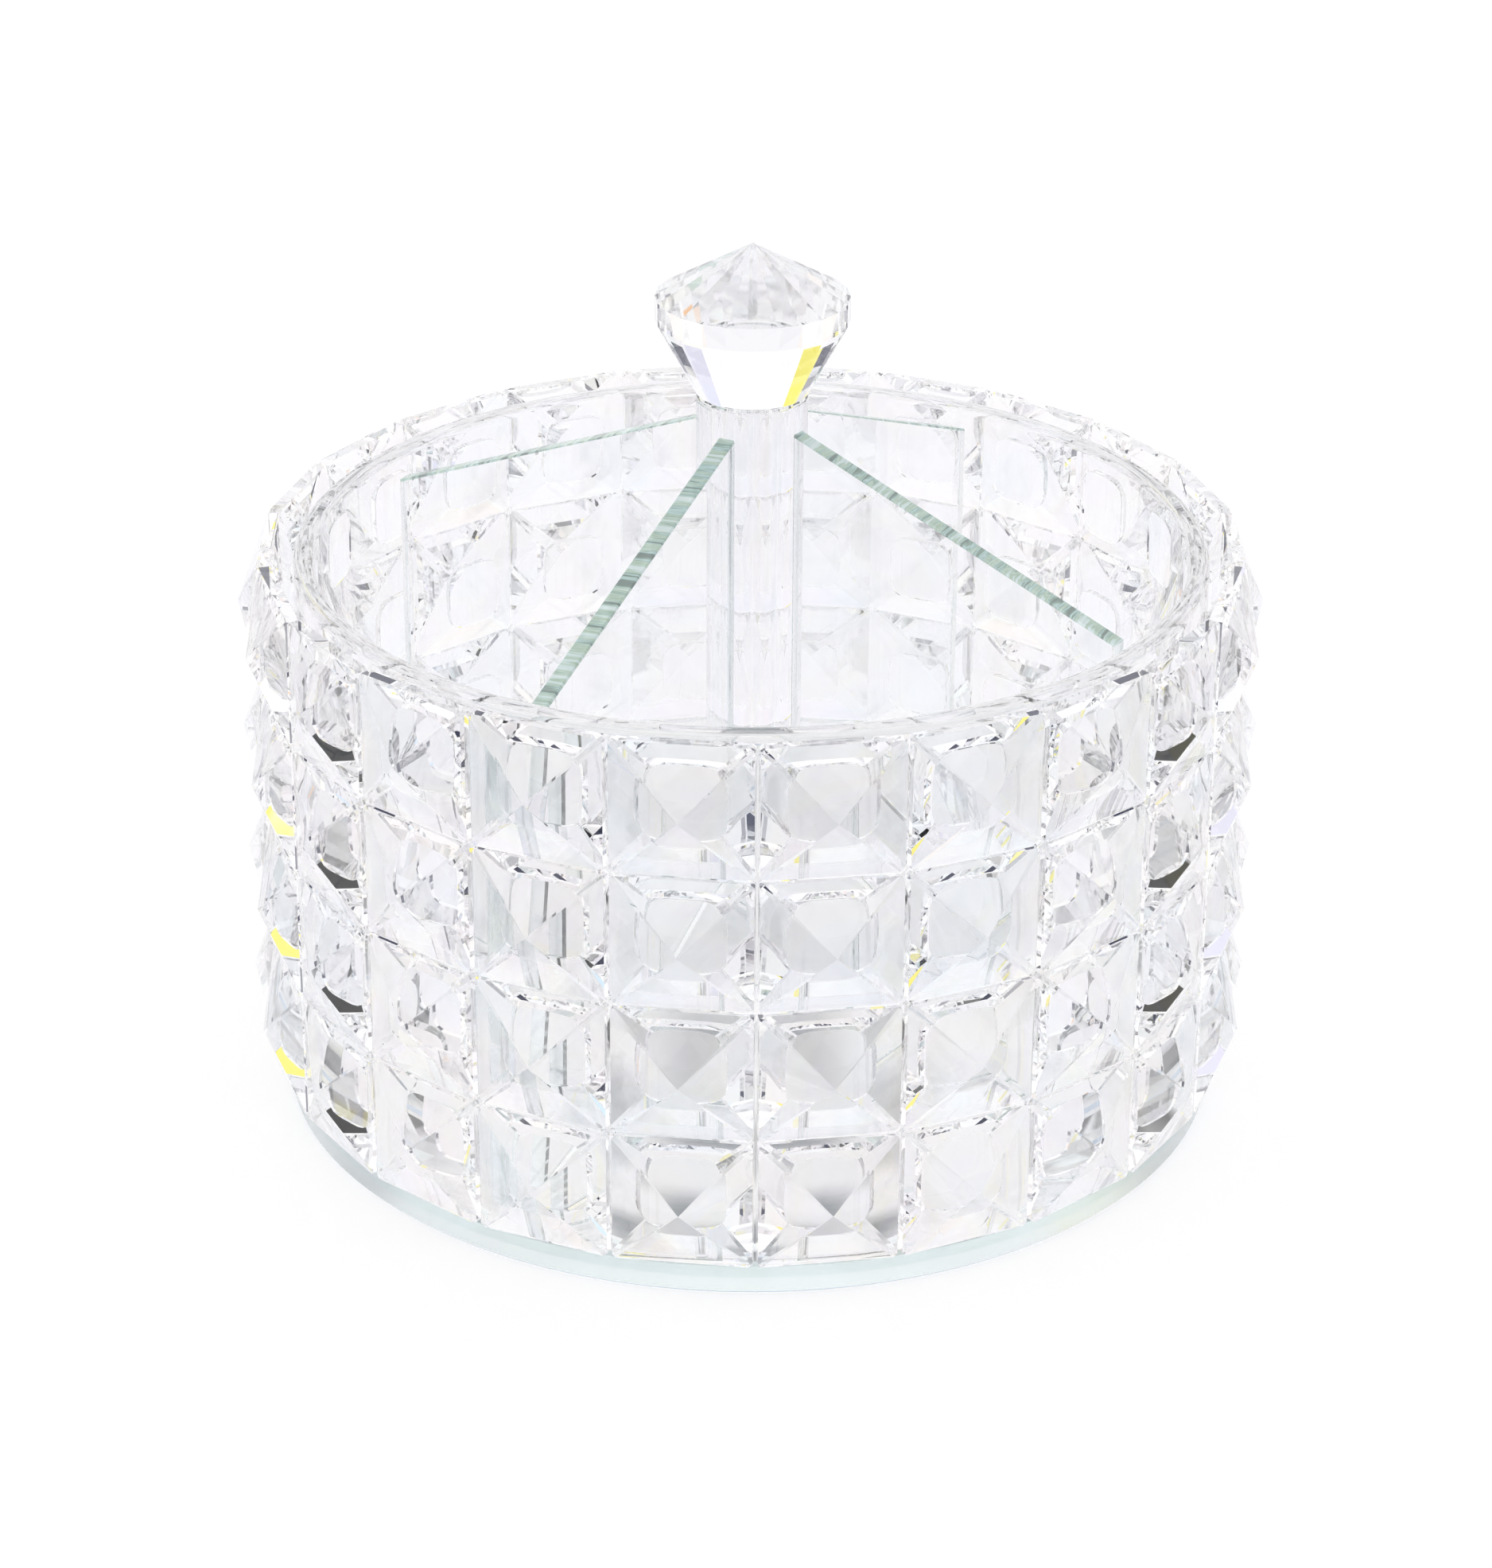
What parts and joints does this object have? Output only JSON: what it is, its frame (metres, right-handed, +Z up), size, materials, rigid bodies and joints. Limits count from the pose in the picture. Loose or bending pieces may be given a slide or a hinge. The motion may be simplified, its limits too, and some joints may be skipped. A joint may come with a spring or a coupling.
{
  "type": "divided powder jar",
  "caption": "Open round vanity jar of thick glass covered in square pyramid-cut crystals, with a lift-out cross divider on a glass post and a faceted crystal knob.",
  "frame": {"origin": "middle of the base plate's underside, where the jar stands on the table", "axes": "+Z up along the jar's axis, -Y towards the front, where a seam between two crystal columns faces"},
  "size_m": [0.1682, 0.1664, 0.1456],
  "materials": {
    "float_glass": "clear float glass with polished blue-green edges",
    "clear_glass": "clear, fire-polished",
    "cut_crystal": "clear crystal, polished flat facets",
    "knob_crystal": "clear crystal, polished flat facets"
  },
  "bodies": {
    "jar": {"base_plate": "float_glass", "jar_tube": "clear_glass", "crystal_column_01": "cut_crystal", "crystal_column_02": "cut_crystal", "crystal_column_03": "cut_crystal", "crystal_column_04": "cut_crystal", "crystal_column_05": "cut_crystal", "crystal_column_06": "cut_crystal", "crystal_column_07": "cut_crystal", "crystal_column_08": "cut_crystal", "crystal_column_09": "cut_crystal", "crystal_column_10": "cut_crystal", "crystal_column_11": "cut_crystal", "crystal_column_12": "cut_crystal", "crystal_column_13": "cut_crystal", "crystal_column_14": "cut_crystal", "crystal_column_15": "cut_crystal", "crystal_column_16": "cut_crystal", "crystal_column_17": "cut_crystal", "crystal_column_18": "cut_crystal", "crystal_column_19": "cut_crystal", "crystal_column_20": "cut_crystal", "crystal_column_21": "cut_crystal", "crystal_column_22": "cut_crystal"},
    "divider_insert": {"centre_post": "clear_glass", "divider_1": "float_glass", "divider_2": "float_glass", "divider_3": "float_glass", "divider_4": "float_glass", "knob": "knob_crystal"}
  },
  "joints": [
    {"name": "lift_out", "type": "slide", "parent": "jar", "child": "divider_insert", "axis": [0, 0, 1], "range_m": [0, 0.092]}
  ]
}
